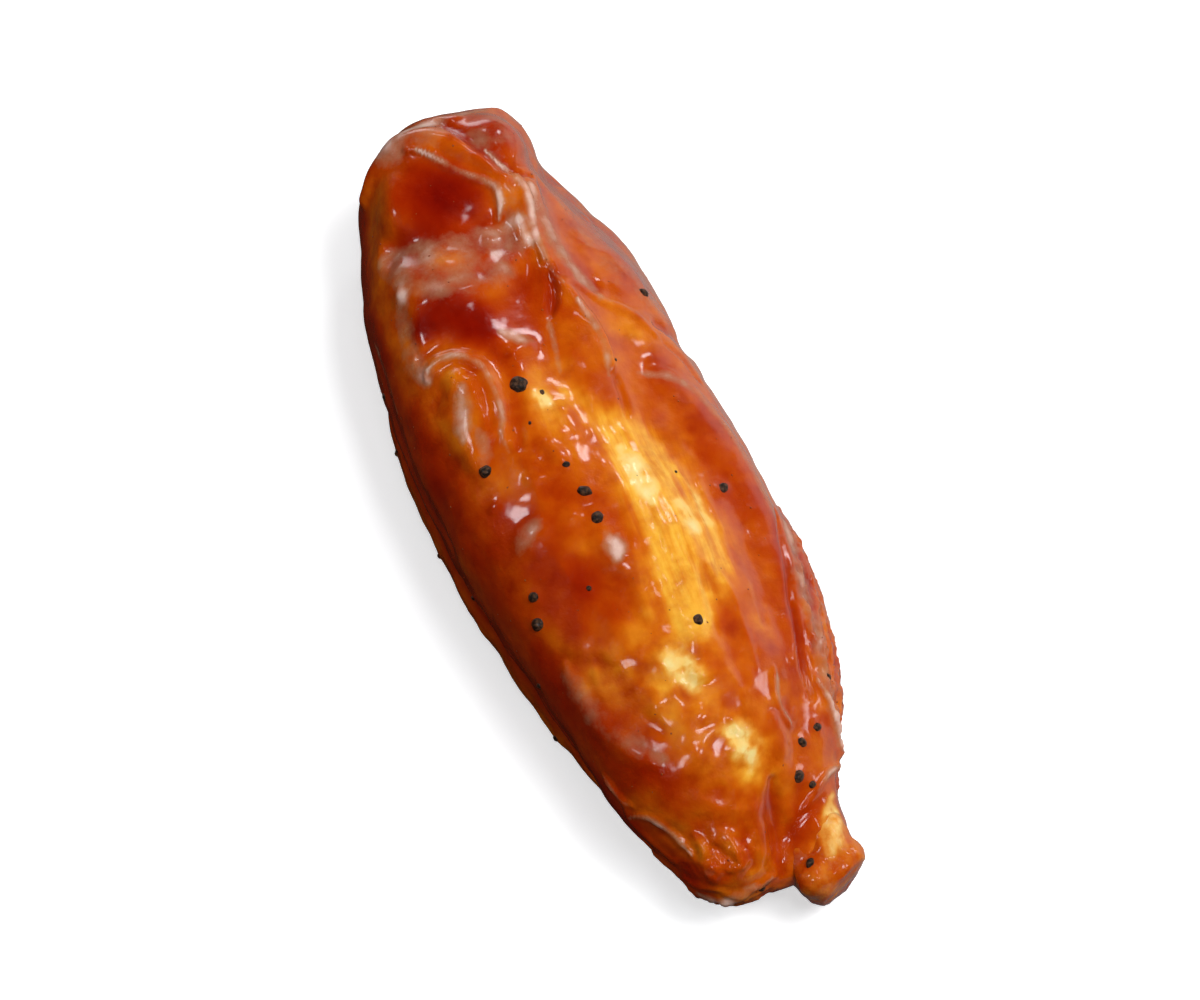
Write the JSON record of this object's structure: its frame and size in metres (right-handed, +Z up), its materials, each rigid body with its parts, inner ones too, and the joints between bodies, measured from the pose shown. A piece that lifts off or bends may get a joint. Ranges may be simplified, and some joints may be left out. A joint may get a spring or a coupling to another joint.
{
  "type": "chicken wing",
  "caption": "Sauced chicken wing flat with its bone end showing, lying on its flatter side.",
  "frame": {"origin": "on the resting plane, below the centre of the whole wing's box", "axes": "+Y along the wing from the wrist end to the elbow end, +X towards the thin muscle and skin fan, +Z up"},
  "size_m": [0.0362, 0.0976, 0.0226],
  "materials": {
    "glazed_meat": "fried skin under a thick glossy red-brown sauce",
    "cooked_bone": "cooked bone end and gristle with a thin film of sauce"
  },
  "bodies": {
    "root": {"wing_meat": "glazed_meat", "wing_bone": "cooked_bone"}
  },
  "joints": []
}
